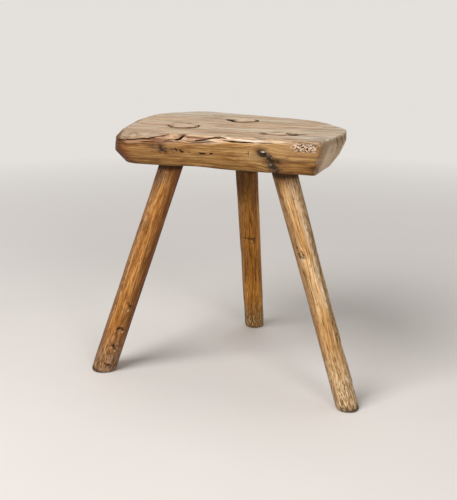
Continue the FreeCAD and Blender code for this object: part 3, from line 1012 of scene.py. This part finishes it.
class Nodes:
    """A node tree, with short calls for the nodes that wood needs. Text as an input names an attribute."""

    def __init__(self, owner):
        owner.use_nodes = True
        self.owner = owner
        self.tree = owner.node_tree
        self.tree.nodes.clear()

    def node(self, kind, inputs=None, **settings):
        made = self.tree.nodes.new(kind)
        for key, value in settings.items():
            setattr(made, key, value)
        for key, value in (inputs or {}).items():
            socket = made.inputs[key]
            if isinstance(value, str):
                value = self.attribute(value)
            if isinstance(value, bpy.types.NodeSocket):
                self.tree.links.new(value, socket)
            else:
                socket.default_value = shader_colour(value) if socket.type == "RGBA" else value
        return made

    def attribute(self, name, output="Fac"):
        return self.node("ShaderNodeAttribute", attribute_name=name).outputs[output]

    def maths(self, operation, *values, clamp=False):
        made = self.node("ShaderNodeMath", dict(enumerate(values)), operation=operation, use_clamp=clamp)
        return made.outputs[0]

    def times(self, first, second):
        return self.maths("MULTIPLY", first, second)

    def weighed(self, *parts):
        """The sum of some values, each times its weight."""
        total = 0.0
        for value, weight in parts:
            total = self.maths("MULTIPLY_ADD", value, weight, total)
        return total

    def vector(self, operation, first, second):
        return self.node("ShaderNodeVectorMath", {0: first, 1: second}, operation=operation).outputs[0]

    def length(self, vector):
        return self.node("ShaderNodeVectorMath", {0: vector}, operation="LENGTH").outputs["Value"]

    def noise(self, place, scales, detail, roughness, distortion=0.0, output="Fac"):
        """Noise with so many bumps to a metre along each axis."""
        return self.node("ShaderNodeTexNoise", {
            "Vector": self.vector("MULTIPLY", place, scales), "Scale": 1.0, "Detail": detail,
            "Roughness": roughness, "Distortion": distortion,
        }).outputs[output]

    def ramp(self, share, places, colours):
        made = self.node("ShaderNodeValToRGB", {"Fac": share})
        stops = made.color_ramp.elements
        for _ in places[2:]:
            stops.new(0.5)
        for stop, place, colour in zip(stops, places, colours):
            stop.position = place
            stop.color = shader_colour(colour)
        return made.outputs["Color"]

    def spread(self, value, low, high, to_low=0.0, to_high=1.0):
        return self.node("ShaderNodeMapRange", {0: value, 1: low, 2: high, 3: to_low, 4: to_high}).outputs[0]

    def mix(self, share, first, second, blend="MIX"):
        made = self.node("ShaderNodeMix", {0: share, 6: first, 7: second}, data_type="RGBA", blend_type=blend)
        return made.outputs[2]

    def tint(self, share, first, second):
        return self.mix(share, first, second, "MULTIPLY")

    def shown(self):
        """One where a surface is seen, straight, in gloss or through glass, and nought for other light."""
        rays = self.node("ShaderNodeLightPath").outputs
        seen = self.maths("ADD", rays["Is Camera Ray"], rays["Is Glossy Ray"], clamp=True)
        return self.maths("ADD", seen, rays["Is Transmission Ray"], clamp=True)


class Figure:
    """The parts of a wood's figure, each from 0 to 1, which follow the grain vector that its piece keeps."""

    def __init__(self, m, ring_width):
        grain = m.attribute("grain", "Vector")
        wander = m.noise(grain, (38, 38, 5), 2.0, 0.55, output="Color")
        wander = m.vector("MULTIPLY", m.vector("SUBTRACT", wander, (0.5, 0.5, 0.5)), (0.014, 0.014, 0))
        bent = m.vector("ADD", grain, wander)
        from_pith = m.length(m.vector("MULTIPLY", bent, (1, 1, 0)))
        phase = m.maths("FRACT", m.maths("DIVIDE", from_pith, ring_width * MM))
        late = m.times(m.spread(phase, 0.4, 0.92), m.spread(phase, 1.0, 0.92))
        self.grain = grain
        self.streaks = m.noise(bent, (250, 250, 12), 3.0, 0.6)
        self.bands = m.noise(bent, (85, 85, 4), 2.0, 0.5)
        self.fibres = m.noise(grain, (1100, 1100, 32), 3.0, 0.65)
        self.blotch = m.noise(grain, (24, 24, 12), 3.0, 0.55, 0.4)
        self.lines = m.noise(bent, (520, 520, 30), 2.0, 0.6)
        self.hairs = m.spread(m.noise(bent, (640, 640, 16), 1.0, 0.5), 0.43, 0.35)
        self.checks = m.spread(m.noise(bent, (430, 430, 12), 2.0, 0.5), 0.38, 0.30)
        self.late = m.times(late, m.spread(self.blotch, 0.3, 0.6, 0.35, 1.0))
        self.tone = m.weighed((self.streaks, 0.35), (self.bands, 0.2), (self.lines, 0.3), (self.blotch, 0.15))
        self.fine = m.weighed((self.lines, 0.45), (self.streaks, 0.3), (self.blotch, 0.25))


# The colour that the dirt and the painted shade darken the wood to.
DIRT_AND_SHADE = (38, 20, 10)


def surface(m, figure, colour, dirt, roughness, gloss):
    """Light the wood: rougher and duller in the dirt and the painted shade, with its fibres standing up a
    little.
    """
    rough = m.spread(figure.fibres, 0.3, 0.7, roughness + 0.1, roughness - 0.05)
    high = ((figure.fibres, 0.55), (figure.late, -0.3), (figure.streaks, 0.9), (figure.checks, -0.8))
    bump = m.node("ShaderNodeBump", {"Height": m.weighed(*high), "Strength": 0.55, "Distance": 0.0007})
    shader = m.node("ShaderNodeBsdfPrincipled", {
        "Base Color": m.mix(dirt, colour, DIRT_AND_SHADE),
        "Roughness": m.maths("MULTIPLY_ADD", dirt, 0.35, rough, clamp=True),
        "Normal": bump.outputs[0],
        "Specular IOR Level": gloss,
    })
    m.node("ShaderNodeOutputMaterial", {"Surface": shader.outputs[0]})
    return m.owner


def etched(m, figure, colour, rings, fibres, checks):
    """Darken a colour along its rings, fibres and fine open checks."""
    colour = m.tint(rings, colour, m.ramp(figure.late, (0.0, 1.0), (1.0, 0.45)))
    colour = m.tint(fibres, colour, m.ramp(figure.fibres, (0.32, 0.5, 0.7), (0.5, 1.0, 1.2)))
    return m.tint(checks, colour, m.ramp(figure.checks, (0.0, 1.0), (1.0, 0.35)))


# The dark, middle and pale shades of each kind of wood.
SIDE_SHADES = ((132, 86, 40), (177, 130, 75), (214, 173, 117))
TORN_SHADES = ((126, 86, 58), (186, 147, 112), (222, 192, 160))
END_SHADES = ((170, 144, 111), (199, 173, 140), (217, 194, 163))
TOP_SHADES = ((150, 122, 90), (198, 169, 137), (228, 207, 179))
KNOT_SHADES = ((26, 18, 10), (62, 47, 32), (128, 110, 92))
RED_SCUFFS = ((80, 56, 36), (134, 102, 72), (184, 156, 126))
PALE_SCUFFS = ((96, 72, 36), (178, 148, 108), (238, 216, 182))
GREEN_SCUFFS = ((70, 50, 22), (138, 111, 66), (202, 178, 130))
# What the shades above are multiplied by, from place to place.
SIDE_CLOUD = ((222, 206, 190), (246, 244, 240), (255, 255, 255))
TOP_CLOUD = ((255, 246, 238), (250, 250, 250), (244, 252, 255))
TORN_BANDS = ((186, 168, 156), 1.0)
LIGHT_TINT = (1.06, 1.12, 1.24, 1)
LOW_TINT = (206, 200, 178)
RED_TINT = (184, 140, 106)
AGED_TINT = (0.97, 1.14, 1.34, 1)
HAIR_TINT = (196, 178, 162)
STAIN_TINT = (150, 112, 84)
# The tint of the painted shade on the legs' inner sides.
INNER_SHADE_TINT = (186, 170, 152)
NICK_TINT = (150, 130, 110)
# Plain colours that are laid over the wood, besides that of the dirt and the painted shade.
LIGHT_WASH = (200, 160, 108)
TOP_WASH = (226, 210, 188)
# The colour of the painted highlight along the seat's front edge.
EDGE_HIGHLIGHT = (242, 224, 200)
CHIP = (242, 224, 210)
CORNER_BROWN = (122, 80, 46)
# The colour of the painted highlights on the knot.
GLINT = (232, 226, 214)
# How wide the rings in the seat's wood are.
SEAT_RINGS = 3.1
# Each leg's wood and the wedges': its shades and those of its scuffs, and its rings' width and strength.
ROUND_WOODS = {
    "left_leg_wood": (((106, 57, 12), (178, 116, 50), (224, 167, 99)), RED_SCUFFS, 2.6, 0.3),
    "right_leg_wood": (((144, 96, 44), (211, 162, 102), (246, 214, 170)), PALE_SCUFFS, 2.2, 0.3),
    "rear_leg_wood": (((122, 68, 8), (204, 135, 44), (244, 183, 84)), GREEN_SCUFFS, 2.6, 0.35),
    "wedge_wood": (((110, 70, 30), (168, 120, 70), (204, 160, 112)), PALE_SCUFFS, 2.0, 0.4),
}


def side_colour(m, figure):
    """The seat's waxed sides: lighter, redder or torn in places, and grey at the ends."""
    side = etched(m, figure, m.ramp(figure.fine, (0.37, 0.5, 0.63), SIDE_SHADES), 0.35, 0.6, 0.7)
    cloud = m.noise(figure.grain, (150, 150, 60), 3.0, 0.6)
    side = m.tint(1.0, side, m.ramp(cloud, (0.36, 0.5, 0.62), SIDE_CLOUD))
    side = m.tint("light", side, LIGHT_TINT)
    side = m.mix(m.times("light", 0.4), side, LIGHT_WASH)
    side = m.tint(m.times("low", 0.8), side, LOW_TINT)
    torn = m.ramp(figure.lines, (0.36, 0.5, 0.64), TORN_SHADES)
    side = m.mix("torn", side, m.tint(1.0, torn, m.ramp(figure.bands, (0.36, 0.6), TORN_BANDS)))
    side = m.tint("red", side, RED_TINT)
    grey = m.ramp(figure.blotch, (0.35, 0.5, 0.65), END_SHADES)
    return m.mix("grey", side, etched(m, figure, grey, 0.25, 0.35, 0.3))


def top_colour(m, figure):
    """The seat's scrubbed top, greyer at the back and brown round its stains."""
    top = m.tint("aged", m.ramp(figure.tone, (0.39, 0.5, 0.61), TOP_SHADES), AGED_TINT)
    top = m.tint(1.0, top, m.ramp(figure.blotch, (0.36, 0.5, 0.64), TOP_CLOUD))
    top = m.tint(figure.hairs, etched(m, figure, top, 0.4, 0.45, 0.8), HAIR_TINT)
    top = m.mix(m.times(m.spread(figure.blotch, 0.55, 0.72), 0.35), top, TOP_WASH)
    return m.tint("stain", top, STAIN_TINT)


def seat_wood():
    """Waxed brown sides, a paler scrubbed top, greyed end grain, and pink wood where the edge tore."""
    m = Nodes(bpy.data.materials.new("seat_wood"))
    figure = Figure(m, SEAT_RINGS)
    colour = m.mix("polish", side_colour(m, figure), top_colour(m, figure))
    # Paint the highlight along the front edge.
    colour = m.mix("chalk", colour, EDGE_HIGHLIGHT)
    specks = m.noise(figure.grain, (880, 880, 560), 1.0, 0.5)
    colour = m.mix(m.times(m.times(m.spread(specks, 0.525, 0.58), "speckle"), 0.75), colour, CHIP)
    colour = m.mix(m.times("corner", 0.75), colour, CORNER_BROWN)
    burl = m.noise(figure.grain, (420, 420, 260), 3.0, 0.6)
    colour = m.mix("knot", colour, m.ramp(burl, (0.42, 0.55, 0.70), KNOT_SHADES))
    # Paint the highlights on the knot.
    colour = m.mix("glint", colour, GLINT)
    holes = m.times(m.spread(specks, 0.495, 0.44), "speckle")
    dirt = m.maths("MULTIPLY_ADD", holes, 0.9, "dirt", clamp=True)
    return surface(m, figure, colour, dirt, 0.46, 0.18)


def round_wood(name, shades, scuffs, ring_width, rings):
    """Waxed round wood, scuffed grey at the foot, with an end as pale as the top that it is level with."""
    m = Nodes(bpy.data.materials.new(name))
    figure = Figure(m, ring_width)
    colour = etched(m, figure, m.ramp(figure.fine, (0.38, 0.5, 0.62), shades), rings, 0.55, 0.7)
    # Painted shade on the side of each leg that faces in and down.
    colour = m.tint("inner", colour, INNER_SHADE_TINT)
    # Pale rubbed wood for chips, and the painted highlights on the flats.
    rubbed_and_highlight = m.ramp(figure.tone, (0.38, 0.5, 0.62), (shades[1], (216, 184, 148), (240, 218, 190)))
    colour = m.mix(m.times("pale", m.spread(figure.lines, 0.40, 0.54, 0.35, 1.0)), colour, rubbed_and_highlight)
    dashes = m.noise(figure.grain, (620, 620, 130), 1.0, 0.6)
    colour = m.tint(m.times(m.spread(dashes, 0.42, 0.34), 0.5), colour, NICK_TINT)
    colour = m.mix(m.times("grey", 0.8), colour, m.ramp(dashes, (0.36, 0.5, 0.62), scuffs))
    end = etched(m, figure, m.ramp(figure.blotch, (0.35, 0.5, 0.65), TOP_SHADES), 0.35, 0.3, 0.2)
    colour = m.mix("polish", colour, m.tint("stain", end, STAIN_TINT))
    return surface(m, figure, colour, m.attribute("dirt"), 0.4, 0.2)


# The floor, the light and the camera, in metres.

BACKGROUND = (228, 224, 220)
FLOOR_COLOUR = (228, 223, 218)
FLOOR_RADIUS = 6.0
FLOOR_SIDES = 96
# How far from the stool the floor starts to fade into the background, and where it has.
FLOOR_FADE = (0.45, 1.9)
WORLD_STRENGTH = 0.26
LAMP_TARGET = Vector((0, 0, 0.2))
# Each lamp's name, place, size and power in watts.
LAMPS = (
    ("key", (-0.7, -1.6, 2.0), 1.5, 54),
    ("fill", (1.4, -1.6, 1.3), 0.8, 12),
    ("top", (0.1, 0.2, 2.4), 1.2, 8),
)


def make_floor():
    mesh = bpy.data.meshes.new("floor")
    disc = bmesh.new()
    bmesh.ops.create_circle(disc, cap_ends=True, segments=FLOOR_SIDES, radius=FLOOR_RADIUS)
    disc.to_mesh(mesh)
    disc.free()
    floor = add_object("floor", mesh)
    m = Nodes(bpy.data.materials.new("pale_floor"))
    place = m.node("ShaderNodeTexCoord").outputs["Object"]
    cloud = m.ramp(m.noise(place, (3, 3, 3), 4.0, 0.6), (0.3, 0.7), (0.95, 1.0))
    shade = m.tint(0.6, FLOOR_COLOUR, cloud)
    matt = {"Base Color": shade, "Roughness": 0.7, "Specular IOR Level": 0.2}
    near = m.node("ShaderNodeBsdfPrincipled", matt)
    far = m.node("ShaderNodeEmission", {"Color": BACKGROUND, "Strength": 1.0})
    share = m.times(m.spread(m.length(place), *FLOOR_FADE), m.shown())
    both = m.node("ShaderNodeMixShader", {0: share, 1: near.outputs[0], 2: far.outputs[0]})
    m.node("ShaderNodeOutputMaterial", {"Surface": both.outputs[0]})
    mesh.materials.append(m.owner)


def make_world():
    m = Nodes(bpy.data.worlds.new("studio"))
    bpy.context.scene.world = m.owner
    level = m.spread(m.shown(), 0.0, 1.0, WORLD_STRENGTH)
    background = m.node("ShaderNodeBackground", {"Color": BACKGROUND, "Strength": level})
    m.node("ShaderNodeOutputWorld", {0: background.outputs[0]})


def add_lamp(name, place, size, power):
    light = bpy.data.lights.new(name, "AREA")
    light.shape = "DISK"
    light.size = size
    light.energy = power
    lamp = add_object(name, light)
    lamp.location = place
    lamp.rotation_euler = (LAMP_TARGET - Vector(place)).to_track_quat("-Z", "Y").to_euler()


def make_camera():
    data = bpy.data.cameras.new("camera")
    data.sensor_width = SENSOR_SIZE
    data.lens = CAMERA_LENS
    data.clip_start = 0.05
    data.clip_end = 50
    camera = add_object("camera", data)
    camera.location = Vector(CAMERA_PLACE) * MM
    camera.rotation_euler = (math.radians(90 - CAMERA_PITCH), 0, math.radians(CAMERA_AZIMUTH))
    bpy.context.scene.camera = camera


def main():
    bpy.context.scene.view_settings.view_transform = "Standard"
    woods = {name: round_wood(name, *values) for name, values in ROUND_WOODS.items()}
    make_seat(seat_wood())
    for side in LEG_SIDES:
        make_leg(side, woods[f"{side}_leg_wood"])
        make_wedge(side, woods["wedge_wood"])
    make_floor()
    make_world()
    for lamp in LAMPS:
        add_lamp(*lamp)
    make_camera()


main()
